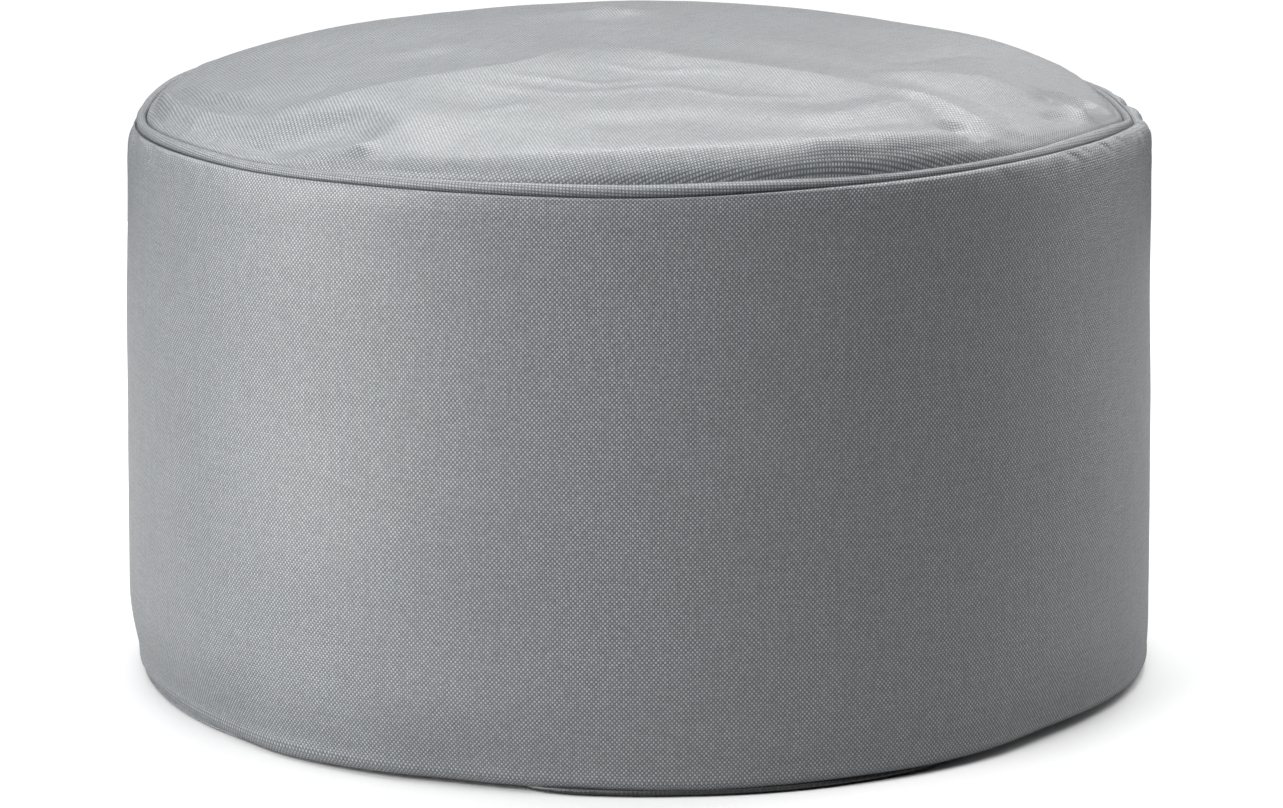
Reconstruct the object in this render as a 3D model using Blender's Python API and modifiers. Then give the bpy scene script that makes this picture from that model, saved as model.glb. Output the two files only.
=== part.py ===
# Round bean bag in grey outdoor cloth, made of the pieces that a maker would cut and sew:
# a filled top panel, a filled side panel, a base panel, and a welt of the same cloth
# sewn into the seam between the top and the side.
# Metres, +Z up. The origin lies on the floor under the middle of the bag.
# Azimuth 0 points along +X and 90 along +Y, so -90 is the front that the photograph shows.

from collections import namedtuple

import bpy
import numpy as np

MM = 0.001

# Driving dimensions
SEAM_RADIUS = 217.0 * MM      # middle of the welt, as sewn
SEAM_HEIGHT = 246.5 * MM      # middle of the welt above the floor, as sewn
WELT_RADIUS = 3.0 * MM        # half the welt's thickness
WELT_ROOM = 0.45 * MM         # space that the panels leave beside the welt
PIECE_GAP = 0.3 * MM          # space between two sewn pieces
WALL_RADIUS = 224.4 * MM      # side panel just below the top seam
WALL_FLARE = 3.0 * MM         # the filling pushes the wall out by this much near the floor
BASE_THICKNESS = 3.2 * MM     # base panel with its turned edge
BASE_FLAT = 202.0 * MM        # the base panel is flat and even out to here
BASE_RIM = 18.0 * MM          # and its edge wanders beyond this
CROWN_HEIGHT = 34.0 * MM      # middle of the top panel above its seam

TURN_STEPS = 120              # steps around the bag
WELT_SIDES = 8                # sides of the welt's section
MERGE_REACH = 0.00001         # joins the section's ends on the axis
SEAM_FLOOR = SEAM_HEIGHT - WELT_RADIUS - WELT_ROOM - 0.05 * MM
CROWN_EDGE = SEAM_RADIUS - WELT_RADIUS - WELT_ROOM
CROWN_UNDERSIDE = SEAM_FLOOR + PIECE_GAP
WALL_FOOT = BASE_THICKNESS + PIECE_GAP

# The seam's own path around the bag, in millimetres from its place as sewn
SeamRow = namedtuple("SeamRow", "azimuth out up")
SEAM_PATH = (
    SeamRow(-165, 0.3, -2.0),
    SeamRow(-150, 0.9, -1.5),
    SeamRow(-135, 1.2, -2.2),
    SeamRow(-120, 1.5, -1.3),
    SeamRow(-105, 1.8, -0.9),
    SeamRow(-90, 2.0, -0.8),
    SeamRow(-75, 1.8, 0.1),
    SeamRow(-60, 1.2, 0.5),
    SeamRow(-45, 0.2, 1.5),
    SeamRow(-33, -1.2, 2.3),
    SeamRow(-23, -2.3, 1.5),
    SeamRow(-13, -3.3, -1.4),
    SeamRow(-3, -4.0, -5.2),
    SeamRow(7, -3.8, -5.6),
    SeamRow(18, -2.6, -4.2),
    SeamRow(34, -1.5, -1.8),
    SeamRow(60, -0.5, 0.5),
    SeamRow(90, 0.0, 1.0),
    SeamRow(120, 0.1, 2.0),
    SeamRow(150, 0.0, 2.6),
    SeamRow(165, -0.2, 0.6),
    SeamRow(180, -0.3, -2.6),
)

# The crown from its middle out to its edge: the share of the radius, the share of the
# crown's height, and how far the filling has sunk where the shoulder is slack
CrownRow = namedtuple("CrownRow", "reach rise sink")
CROWN_SECTION = (
    CrownRow(0.0, 1.000, 0.0),
    CrownRow(0.16, 0.979, 0.0),
    CrownRow(0.32, 0.930, 0.0),
    CrownRow(0.46, 0.862, 0.0),
    CrownRow(0.57, 0.797, 0.1),
    CrownRow(0.66, 0.738, 0.7),
    CrownRow(0.735, 0.681, 1.6),
    CrownRow(0.795, 0.631, 2.8),
    CrownRow(0.845, 0.587, 4.3),
    CrownRow(0.885, 0.548, 5.8),
    CrownRow(0.918, 0.509, 7.0),
    CrownRow(0.943, 0.462, 7.5),
    CrownRow(0.962, 0.400, 7.1),
    CrownRow(0.977, 0.313, 6.0),
    CrownRow(0.989, 0.201, 4.1),
    CrownRow(0.997, 0.088, 1.9),
    CrownRow(1.0, 0.0, 0.0),
)

HELD_RIM = 0.05               # share of the radius over which the seam holds folds down

# How slack the shoulder is around the bag: 0 stands full, 1 has sunk all the way
SlackRow = namedtuple("SlackRow", "azimuth slack")
SHOULDER_SLACK = (
    SlackRow(-150, 0.90),
    SlackRow(-135, 0.70),
    SlackRow(-120, 0.35),
    SlackRow(-105, 0.05),
    SlackRow(-90, 0.0),
    SlackRow(-60, 0.0),
    SlackRow(-48, 0.25),
    SlackRow(-36, 0.65),
    SlackRow(-24, 0.90),
    SlackRow(0, 1.0),
    SlackRow(90, 1.0),
    SlackRow(170, 0.95),
)

# Broad swells and hollows of the top panel, in millimetres on the plan
Swell = namedtuple("Swell", "x y lift spread")
SWELLS = (
    Swell(10, 118, 2.8, 66),       # the filling has slid towards the back
    Swell(-152, -140, -2.4, 22),   # hollow beside the seam at the front left
    Swell(-118, -128, -1.8, 24),
    Swell(182, -46, -2.2, 15),     # dimple at the right end
    Swell(140, -146, -1.8, 14),
    Swell(170, -96, -1.5, 13),
    Swell(120, 78, 1.0, 34),
    Swell(172, 62, 3.0, 26),
)

# Folds of the top panel on the plan, in millimetres: three points along the crest, the
# height of the crest, and how far it runs out on its front and its back side
Fold = namedtuple("Fold", "start middle end height front back")
FOLDS = (
    Fold((-176, -78), (-96, -90), (-12, -34), 2.2, 15, 20),      # long ridge across the top
    Fold((-12, -34), (20, -78), (70, -88), 2.2, 16, 20),
    Fold((-212, -36), (-172, -96), (-112, -106), 1.8, 12, 10),   # below it at the left
    Fold((-206, 0), (-184, -36), (-154, -84), 1.6, 9, 9),
    Fold((-148, -172), (-124, -174), (-92, -176), 2.2, 12, 12),  # from the welt at the left
    Fold((-182, -112), (-160, -116), (-130, -124), 1.8, 9, 10),
    Fold((62, -90), (110, -88), (180, -30), 1.8, 15, 14),        # long ridge at the right
    Fold((0, -142), (60, -140), (112, -116), 1.2, 9, 9),
    Fold((112, -116), (140, -130), (176, -138), 3.2, 10, 12),    # sharp ridge to the welt
    Fold((120, -168), (136, -164), (156, -162), 2.4, 9, 9),
    Fold((64, -190), (78, -199), (96, -202), 3.4, 7, 8),         # short pleat on the shoulder
    Fold((164, -62), (184, -76), (206, -96), 3.0, 8, 8),
)

# Swelling of the wall's own shoulder around the welt, in millimetres
PuffRow = namedtuple("PuffRow", "azimuth up")
SHOULDER_PUFF = (
    PuffRow(-180, -2.6),
    PuffRow(-150, -2.2),
    PuffRow(-110, -1.8),
    PuffRow(-85, -1.2),
    PuffRow(-65, 0.4),
    PuffRow(-45, 1.1),
    PuffRow(-28, 0.9),
    PuffRow(-8, 0.6),
    PuffRow(12, 0.4),
    PuffRow(40, 0.0),
    PuffRow(90, -0.8),
    PuffRow(140, -2.0),
)

# Puckers where the wall is gathered into the top seam: centre, half width around the
# bag in degrees, depth and length down the wall in millimetres
Pucker = namedtuple("Pucker", "azimuth half depth length")
PUCKERS = (
    Pucker(-166, 3.4, 1.6, 20),
    Pucker(-149, 3.0, 1.3, 22),
    Pucker(-142, 3.0, 1.1, 26),
    Pucker(-126, 3.0, 0.8, 12),
    Pucker(-54, 3.0, 0.8, 10),
    Pucker(-33, 3.0, 1.4, 16),
    Pucker(-25, 3.0, 1.6, 20),
    Pucker(-15, 3.4, 1.8, 24),
    Pucker(-5, 3.4, 1.8, 22),
    Pucker(8, 3.4, 1.4, 20),
    Pucker(34, 3.0, 1.2, 18),
    Pucker(68, 3.0, 1.0, 16),
    Pucker(104, 3.0, 1.2, 20),
    Pucker(139, 3.0, 1.2, 18),
)

# Broad dents in the wall: centre, how far each fades out around and up, and its depth
Dent = namedtuple("Dent", "azimuth height around tall depth")
DENTS = (
    Dent(-128, 150, 14, 70, 1.2),
    Dent(-62, 90, 16, 60, 1.0),
    Dent(-20, 165, 12, 45, 1.2),
    Dent(-95, 40, 13, 26, -0.8),
    Dent(30, 120, 18, 60, 1.1),
    Dent(85, 150, 18, 60, 1.2),
    Dent(140, 90, 18, 60, 1.1),
    Dent(175, 160, 14, 50, -0.8),
)

# The lower edge around the bag, in millimetres: how far the base panel's edge stands out
# from its place as sewn, how far the wall's lower corner is tucked under, and how far the
# wall's turned edge hangs down over the base panel's edge
HemRow = namedtuple("HemRow", "azimuth base tuck hang")
LOWER_EDGE = (
    HemRow(-170, -13.5, 5.0, 2.0),
    HemRow(-150, -13.5, 4.6, 2.7),
    HemRow(-134, -13.5, 4.2, 2.7),
    HemRow(-118, -15.0, 7.6, 2.7),
    HemRow(-106, -15.0, 7.2, 2.6),
    HemRow(-99, -13.0, 3.5, 1.6),
    HemRow(-93, -6.0, 1.2, 0.0),
    HemRow(-86, 0.0, 0.0, 0.0),
    HemRow(-76, 1.0, -1.0, 0.0),
    HemRow(-62, 0.0, 0.0, 0.0),
    HemRow(-46, -2.5, 1.4, 0.0),
    HemRow(-20, -3.0, 2.0, 0.0),
    HemRow(20, -2.0, 1.0, 0.0),
    HemRow(90, -3.0, 2.0, 0.0),
    HemRow(140, -5.0, 2.0, 0.0),
    HemRow(152, -12.0, 2.8, 0.0),
    HemRow(170, -13.5, 4.6, 1.6),
)

# The side panel's shoulder, which rises around the welt from the groove that it lies in:
# places outside and above the welt's middle, in millimetres
ShoulderRow = namedtuple("ShoulderRow", "out up")
WALL_SHOULDER = (
    ShoulderRow(-0.5, -3.5),
    ShoulderRow(2.5, -2.5),
    ShoulderRow(3.9, -1.4),
    ShoulderRow(5.0, -1.6),
    ShoulderRow(6.3, -3.6),
    ShoulderRow(7.0, -7.0),
)
GROOVE_LIP = 3.9 * MM         # the shoulder starts this far outside the welt's middle
SHOULDER_WIDTH = 3.2 * MM     # over this width it stops following the seam in and out
SHOULDER_DEPTH = 9.0 * MM     # its swelling fades out over this height
TURN_HEIGHT = 20.0 * MM       # the tuck of the lower corner fades out over this height

# The wall below its shoulder: how much of the flare it has, and its height in millimetres
WallRow = namedtuple("WallRow", "flare height")
WALL_ROWS = (
    WallRow(0.0, 232.0),
    WallRow(0.02, 222.0),
    WallRow(0.10, 206.0),
    WallRow(0.34, 166.0),
    WallRow(0.64, 118.0),
    WallRow(0.88, 72.0),
    WallRow(1.0, 34.0),
    WallRow(1.0, 18.0),
    WallRow(0.86, 10.0),
)

# The wall's turned lower edge: how far inside the wall's widest and above its foot in
# millimetres, and how much of the tuck and of the hang it takes
TurnRow = namedtuple("TurnRow", "inside above tuck hang")
WALL_TURN = (
    TurnRow(0.6, 1.6, 1.0, 0.55),
    TurnRow(2.2, 0.0, 1.0, 1.0),
    TurnRow(6.0, 0.0, 0.9, 1.0),
    TurnRow(14.0, 0.0, 0.0, 0.0),
)


def smoothBetween(places, values, wanted):
    """A smooth curve through (places, values), read at the wanted places."""
    places = np.asarray(places, dtype=float)
    values = np.asarray(values, dtype=float)
    slopes = np.gradient(values, places)
    row = np.clip(np.searchsorted(places, wanted, side="right") - 1, 0, len(places) - 2)
    width = places[row + 1] - places[row]
    t = (wanted - places[row]) / width
    start = (2 * t**3 - 3 * t**2 + 1) * values[row] + (t**3 - 2 * t**2 + t) * width * slopes[row]
    end = (3 * t**2 - 2 * t**3) * values[row + 1] + (t**3 - t**2) * width * slopes[row + 1]
    return start + end


def aroundBag(rows, column, azimuth):
    """One column of a table that closes on itself around the bag, at each azimuth."""
    places = [row.azimuth for row in rows]
    values = [getattr(row, column) for row in rows]
    places = [places[-2] - 360, places[-1] - 360] + places + [places[0] + 360, places[1] + 360]
    values = [values[-2], values[-1]] + values + [values[0], values[1]]
    turned = (azimuth - rows[0].azimuth) % 360 + rows[0].azimuth
    return smoothBetween(places, values, turned)


def fade(distance):
    """1 at zero, falling smoothly to 0 at a distance of 1 and beyond."""
    near = np.clip(1 - np.abs(distance), 0, 1)
    return near * near * (3 - 2 * near)


def polar(points):
    """Radius and azimuth in degrees of each point."""
    radius = np.hypot(points[:, 0], points[:, 1])
    return radius, np.degrees(np.arctan2(points[:, 1], points[:, 0]))


def moveOut(points, outwards):
    """Move each point away from the axis by its own amount."""
    radius, azimuth = polar(points)
    away = np.where(radius > MM, 1 + outwards / np.maximum(radius, MM), 1.0)
    points[:, 0] *= away
    points[:, 1] *= away


def followSeam(points):
    """Carry everything near the top seam along the seam's own uneven path."""
    radius, azimuth = polar(points)
    share = np.clip(radius / SEAM_RADIUS, 0, 1) ** 2
    share = share * np.clip(points[:, 2] / SEAM_FLOOR, 0, 1) ** 5
    beyondLip = np.clip(radius - SEAM_RADIUS - GROOVE_LIP, 0, None)
    moveOut(points, share * fade(beyondLip / SHOULDER_WIDTH) * aroundBag(SEAM_PATH, "out", azimuth) * MM)
    points[:, 2] += share * aroundBag(SEAM_PATH, "up", azimuth) * MM


def foldCrest(fold, steps=24):
    """Points along a fold's crest, a smooth curve through its three points."""
    start, middle, end = (np.array(point) * MM for point in (fold.start, fold.middle, fold.end))
    pull = 2 * middle - (start + end) / 2
    t = np.linspace(0, 1, steps)[:, None]
    return (1 - t) ** 2 * start + 2 * t * (1 - t) * pull + t**2 * end


def foldLift(fold, plan):
    """How far one fold lifts each point of the top panel."""
    crest = foldCrest(fold)
    reach = plan[:, None, :] - crest[None, :, :]
    distance = np.linalg.norm(reach, axis=2)
    nearest = np.argmin(distance, axis=1)
    rows = np.arange(len(plan))
    away = distance[rows, nearest]
    along = nearest / (len(crest) - 1)
    behind = reach[rows, nearest, 1] > 0
    width = np.where(behind, fold.back, fold.front) * MM
    ends = fade(np.clip(1 - 4 * np.minimum(along, 1 - along), 0, 1))
    return fold.height * MM * fade(away / width) * ends


def settleCrown(points):
    """Sink the slack shoulder, then raise the swells and folds of the top panel."""
    radius, azimuth = polar(points)
    reach = radius / CROWN_EDGE
    skin = points[:, 2] > CROWN_UNDERSIDE + MM
    sink = smoothBetween([row.reach for row in CROWN_SECTION], [row.sink for row in CROWN_SECTION], reach)
    lift = -sink * aroundBag(SHOULDER_SLACK, "slack", azimuth) * MM
    held = 1 - fade((1 - reach) / HELD_RIM)
    for swell in SWELLS:
        away = np.hypot(points[:, 0] - swell.x * MM, points[:, 1] - swell.y * MM)
        lift += held * swell.lift * MM * np.exp(-0.5 * (away / (swell.spread * MM)) ** 2)
    for fold in FOLDS:
        lift += held * foldLift(fold, points[:, :2])
    points[:, 2] += np.where(skin, lift, 0)


def turnShare(column, radius):
    """How much of the tuck or the hang the wall's turned edge takes at each radius."""
    rows = list(reversed(WALL_TURN))
    places = [WALL_RADIUS + WALL_FLARE - row.inside * MM for row in rows]
    return np.interp(radius, places, [getattr(row, column) for row in rows])


def settleWall(points):
    """Swell the wall's shoulder, draw in its puckers, dent it and tuck its lower corner."""
    radius, azimuth = polar(points)
    height = points[:, 2].copy()
    besideGroove = radius > SEAM_RADIUS + WELT_RADIUS
    shoulder = besideGroove * fade((height - SEAM_HEIGHT) / SHOULDER_DEPTH)
    beyondLip = np.clip(radius - SEAM_RADIUS - GROOVE_LIP, 0, None)
    outer = 1 - fade(beyondLip / SHOULDER_WIDTH)
    inwards = np.zeros(len(points))
    for pucker in PUCKERS:
        off = (azimuth - pucker.azimuth + 180) % 360 - 180
        down = fade((SEAM_HEIGHT - height) / (pucker.length * MM))
        inwards += pucker.depth * MM * fade(off / pucker.half) * down
    for dent in DENTS:
        off = (azimuth - dent.azimuth + 180) % 360 - 180
        middle = fade(off / (2 * dent.around)) * fade((height / MM - dent.height) / dent.tall)
        inwards += dent.depth * MM * middle
    corner = turnShare("tuck", radius) * fade((height - BASE_THICKNESS) / TURN_HEIGHT)
    inwards += corner * aroundBag(LOWER_EDGE, "tuck", azimuth) * MM
    turnedUnder = height < WALL_FOOT + 3 * MM
    moveOut(points, -inwards * outer)
    points[:, 2] += shoulder * aroundBag(SHOULDER_PUFF, "up", azimuth) * MM
    points[:, 2] -= turnedUnder * turnShare("hang", radius) * aroundBag(LOWER_EDGE, "hang", azimuth) * MM


def settleBase(points):
    """Let the base panel's edge stand out or lie back around the bag."""
    radius, azimuth = polar(points)
    rim = np.clip((radius - BASE_FLAT) / BASE_RIM, 0, 1)
    moveOut(points, rim * aroundBag(LOWER_EDGE, "base", azimuth) * MM)


def finish(name, colour, roughness):
    """A plain cloth material."""
    material = bpy.data.materials.new(name)
    material.use_nodes = True
    shader = material.node_tree.nodes["Principled BSDF"]
    shader.inputs["Base Color"].default_value = (*colour, 1)
    shader.inputs["Roughness"].default_value = roughness
    shader.inputs["Metallic"].default_value = 0
    material.diffuse_color = (*colour, 1)
    return material


def turned(name, section, collection):
    """A solid of revolution: a section at +X, from the top of the axis to its foot."""
    mesh = bpy.data.meshes.new(name)
    vertices = [(radius, 0, height) for radius, height in section]
    edges = [(i, i + 1) for i in range(len(vertices) - 1)]
    mesh.from_pydata(vertices, edges, [])
    piece = bpy.data.objects.new(name, mesh)
    collection.objects.link(piece)
    screw = piece.modifiers.new("turn", "SCREW")
    screw.steps = TURN_STEPS
    screw.render_steps = TURN_STEPS
    screw.use_merge_vertices = True
    screw.merge_threshold = MERGE_REACH
    return plainMesh(piece)


def plainMesh(piece):
    """Replace an object's mesh with what its modifiers make."""
    evaluated = piece.evaluated_get(bpy.context.evaluated_depsgraph_get())
    mesh = bpy.data.meshes.new_from_object(evaluated)
    mesh.name = piece.name
    piece.modifiers.clear()
    piece.data = mesh
    return piece


def reshape(piece, *moves):
    """Move the vertices of a piece by each function in turn."""
    mesh = piece.data
    flat = np.empty(len(mesh.vertices) * 3)
    mesh.vertices.foreach_get("co", flat)
    points = flat.reshape(-1, 3)
    for move in moves:
        move(points)
    mesh.vertices.foreach_set("co", points.ravel())
    mesh.update()


def topPanel(collection):
    section = [(row.reach * CROWN_EDGE, SEAM_HEIGHT + row.rise * CROWN_HEIGHT) for row in CROWN_SECTION]
    section += [(CROWN_EDGE, CROWN_UNDERSIDE), (0, CROWN_UNDERSIDE)]
    panel = turned("top_panel", section, collection)
    reshape(panel, settleCrown, followSeam)
    return panel


def sidePanel(collection):
    section = [(0, SEAM_FLOOR)]
    section += [(SEAM_RADIUS + row.out * MM, SEAM_HEIGHT + row.up * MM) for row in WALL_SHOULDER]
    section += [(WALL_RADIUS + row.flare * WALL_FLARE, row.height * MM) for row in WALL_ROWS]
    widest = WALL_RADIUS + WALL_FLARE
    section += [(widest - row.inside * MM, WALL_FOOT + row.above * MM) for row in WALL_TURN]
    section.append((0, WALL_FOOT))
    panel = turned("side_panel", section, collection)
    reshape(panel, settleWall, followSeam)
    return panel


def basePanel(collection):
    rim = WALL_RADIUS + WALL_FLARE
    middle = rim - BASE_THICKNESS
    section = [(0, BASE_THICKNESS)]
    for angle in np.radians((90, 45, 0, -45, -90)):
        out = BASE_THICKNESS / 2 * np.cos(angle)
        up = BASE_THICKNESS / 2 * (1 + np.sin(angle))
        section.append((middle + out, up))
    section.append((0, 0))
    panel = turned("base_panel", section, collection)
    reshape(panel, settleBase)
    return panel


def raiseToSeam(points):
    """Lift the welt to the seam's height."""
    points[:, 2] += SEAM_HEIGHT


def topWelt(collection):
    bpy.ops.mesh.primitive_torus_add(
        major_segments=TURN_STEPS, minor_segments=WELT_SIDES,
        major_radius=SEAM_RADIUS, minor_radius=WELT_RADIUS)
    welt = bpy.context.object
    welt.name = "top_welt"
    for home in list(welt.users_collection):
        home.objects.unlink(welt)
    collection.objects.link(welt)
    welt.data.name = "top_welt"
    reshape(welt, raiseToSeam, followSeam)
    return welt


def main():
    for old in list(bpy.data.objects):
        bpy.data.objects.remove(old)
    collection = bpy.data.collections.new("bean_bag")
    bpy.context.scene.collection.children.link(collection)
    greyCloth = finish("grey outdoor cloth", (0.36, 0.37, 0.39), 0.9)
    weltCloth = finish("grey welt cloth", (0.33, 0.34, 0.36), 0.9)
    baseCloth = finish("dark base cloth", (0.04, 0.04, 0.045), 0.85)
    pieces = (
        (topPanel(collection), greyCloth),
        (sidePanel(collection), greyCloth),
        (basePanel(collection), baseCloth),
        (topWelt(collection), weltCloth),
    )
    for piece, material in pieces:
        piece.data.materials.clear()
        piece.data.materials.append(material)
        piece.data.shade_smooth()


main()
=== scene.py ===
import math

import bpy
import numpy as np
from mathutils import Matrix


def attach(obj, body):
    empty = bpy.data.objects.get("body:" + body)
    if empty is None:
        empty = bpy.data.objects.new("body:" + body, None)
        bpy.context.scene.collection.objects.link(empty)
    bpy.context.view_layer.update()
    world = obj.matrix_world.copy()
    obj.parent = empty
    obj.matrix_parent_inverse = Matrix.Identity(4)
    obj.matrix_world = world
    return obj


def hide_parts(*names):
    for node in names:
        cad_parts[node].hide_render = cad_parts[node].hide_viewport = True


# Round bean bag in grey outdoor cloth: two filled panels, the welt between them and a dark base.
# Metres, +Z up. Azimuth 0 is +X, and -90 is the front that the photograph shows.
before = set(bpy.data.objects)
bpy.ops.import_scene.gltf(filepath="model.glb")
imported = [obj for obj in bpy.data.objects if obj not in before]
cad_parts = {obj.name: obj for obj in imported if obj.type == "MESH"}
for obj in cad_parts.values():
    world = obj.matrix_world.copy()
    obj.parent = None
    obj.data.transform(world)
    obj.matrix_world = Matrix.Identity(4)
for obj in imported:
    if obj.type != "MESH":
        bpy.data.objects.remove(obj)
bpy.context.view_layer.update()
mm = 0.001
print("frame loaded:", sorted(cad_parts))


# Camera
view = {
    "place": (0.0011, -2.045, 0.559),
    "tiltDown": 12.31,   # degrees below level
    "lens": 132.36,      # millimetres
    "sensorWidth": 36.0,
    "farthest": 60.0,
}


def makeCamera():
    lensData = bpy.data.cameras.new("photoCamera")
    lensData.lens = view["lens"]
    lensData.sensor_width = view["sensorWidth"]
    lensData.clip_end = view["farthest"]
    camera = bpy.data.objects.new("photoCamera", lensData)
    bpy.context.scene.collection.objects.link(camera)
    bpy.context.scene.camera = camera
    camera.location = view["place"]
    camera.rotation_euler = (math.radians(90 - view["tiltDown"]), 0, 0)
    bpy.context.scene.view_settings.view_transform = "Standard"


makeCamera()
print("camera placed")


# Tools for smooth tables and fields
def smoothBetween(places, values, wanted):
    # smooth curve through the values at these places, read where it is wanted
    places = np.asarray(places, dtype=float)
    values = np.asarray(values, dtype=float)
    slopes = np.gradient(values, places)
    row = np.clip(np.searchsorted(places, wanted, side="right") - 1, 0, len(places) - 2)
    width = places[row + 1] - places[row]
    t = (wanted - places[row]) / width
    start = (2 * t**3 - 3 * t**2 + 1) * values[row] + (t**3 - 2 * t**2 + t) * width * slopes[row]
    end = (3 * t**2 - 2 * t**3) * values[row + 1] + (t**3 - t**2) * width * slopes[row + 1]
    return start + end


def aroundBag(rows, column, azimuth):
    # a column of a table whose rows start with their azimuth; it closes on itself
    places = [row[0] for row in rows]
    values = [row[column] for row in rows]
    places = [places[-2] - 360, places[-1] - 360] + places + [places[0] + 360, places[1] + 360]
    values = [values[-2], values[-1]] + values + [values[0], values[1]]
    return smoothBetween(places, values, (azimuth - rows[0][0]) % 360 + rows[0][0])


def fade(distance):
    # 1 at no distance, 0 from a distance of 1
    near = np.clip(1 - np.abs(distance), 0, 1)
    return near * near * (3 - 2 * near)


noiseCells = 256


def softNoise(across, up, size, seed, loop=None):
    # even random field from -1 to 1; it closes on itself after loop
    cells = max(4, round(loop / size)) if loop else noiseCells
    step = loop / cells if loop else size
    grid = np.random.default_rng(seed).uniform(-1, 1, (cells, noiseCells))
    x = across / step + (0 if loop else cells // 2)
    y = up / size + noiseCells // 2
    column = np.floor(x).astype(int)
    row = np.floor(y).astype(int)
    u = x - column
    v = y - row
    u = u * u * (3 - 2 * u)
    v = v * v * (3 - 2 * v)
    left = column % cells
    right = (column + 1) % cells
    here = row % noiseCells
    above = (row + 1) % noiseCells
    low = grid[left, here] * (1 - u) + grid[right, here] * u
    high = grid[left, above] * (1 - u) + grid[right, above] * u
    return low * (1 - v) + high * v


def curveThrough(points, steps):
    points = np.array(points, dtype=float)
    reach = np.r_[0, np.cumsum(np.linalg.norm(np.diff(points, axis=0), axis=1))]
    wanted = np.linspace(0, reach[-1], steps)
    columns = [smoothBetween(reach, points[:, k], wanted) for k in range(points.shape[1])]
    return np.stack(columns, axis=1)


def polar(points):
    x, y = points[..., 0], points[..., 1]
    return np.hypot(x, y), np.degrees(np.arctan2(y, x))


def moveOut(points, outwards):
    radius = np.maximum(np.hypot(points[..., 0], points[..., 1]), mm)
    points[..., 0] *= 1 + outwards / radius
    points[..., 1] *= 1 + outwards / radius


# The top seam, which both panels and the welt follow
seam = {
    "radius": 217.0 * mm,      # middle of the welt
    "height": 246.5 * mm,
    "weltRadius": 3.0 * mm,
    "room": 0.45 * mm,         # space beside the welt
    "play": 0.05 * mm,         # a little more of it below the welt
    "gap": 0.3 * mm,           # space between two sewn pieces
    "lip": 3.9 * mm,           # the wall's shoulder starts this far outside the welt's middle
    "lipWidth": 3.2 * mm,
    "besideOut": 3.9 * mm,     # cloth up to here beside the welt lies closer where the cord is thin
    "besideFade": 1.7 * mm,
    "aboveUp": 4.0 * mm,       # the same above and below the welt
    "aboveFade": 9.0 * mm,
    "crownSide": -3.0 * mm,    # the cloth inside this stays at its height
    "path": (                  # azimuth, millimetres out, millimetres up
        (-165, 0.3, -2.0), (-150, 0.9, -1.5), (-135, 1.2, -2.2), (-120, 1.5, -1.3),
        (-105, 1.8, -0.9), (-90, 2.0, -0.8), (-75, 1.8, 0.1), (-60, 1.2, 0.5),
        (-45, 0.2, 1.5), (-33, -1.2, 2.3), (-23, -2.3, 1.5), (-13, -3.3, -1.4),
        (-3, -4.0, -5.0), (7, -3.8, -4.8), (18, -2.6, -2.8), (34, -1.5, -0.7),
        (60, -0.5, 0.8), (90, 0.0, 1.0), (120, 0.1, 2.2), (150, 0.0, 3.6),
        (165, -0.2, 1.8), (180, -0.3, -2.3),
    ),
    "thickness": (             # azimuth, share of the cord's full radius where it is drawn in
        (-165, 0.72), (-150, 0.80), (-135, 0.72), (-120, 0.80), (-105, 0.90), (-90, 0.98),
        (-78, 0.92), (-66, 0.74), (-56, 0.68), (-46, 0.74), (-36, 0.90), (-27, 0.96),
        (-17, 0.82), (-7, 0.66), (10, 0.66), (40, 0.76), (90, 0.82), (140, 0.78), (170, 0.66),
    ),
}
seamFloor = seam["height"] - seam["weltRadius"] - seam["room"] - seam["play"]
crownEdge = seam["radius"] - seam["weltRadius"] - seam["room"]
crownUnderside = seamFloor + seam["gap"]


def followSeam(points):
    # the cloth goes with the seam, less and less away from it
    radius, azimuth = polar(points)
    share = np.clip(radius / seam["radius"], 0, 1) ** 2 * np.clip(points[..., 2] / seamFloor, 0, 1) ** 5
    beyondLip = np.clip(radius - seam["radius"] - seam["lip"], 0, None)
    out = share * fade(beyondLip / seam["lipWidth"]) * aroundBag(seam["path"], 1, azimuth) * mm
    moveOut(points, out)
    points[..., 2] += share * aroundBag(seam["path"], 2, azimuth) * mm


def closeUpToWelt(points):
    # where the welt is drawn in, the cloth beside it lies that much closer
    radius, azimuth = polar(points)
    slim = 1 - aroundBag(seam["thickness"], 1, azimuth)
    out = radius - seam["radius"]
    up = points[..., 2] - seam["height"]
    near = fade(np.clip(np.abs(out) - seam["besideOut"], 0, None) / seam["besideFade"])
    near = near * fade(np.clip(np.abs(up) - seam["aboveUp"], 0, None) / seam["aboveFade"])
    moveOut(points, -out * slim * near)
    points[..., 2] -= np.where(out > seam["crownSide"], up * slim * near, 0)


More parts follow.
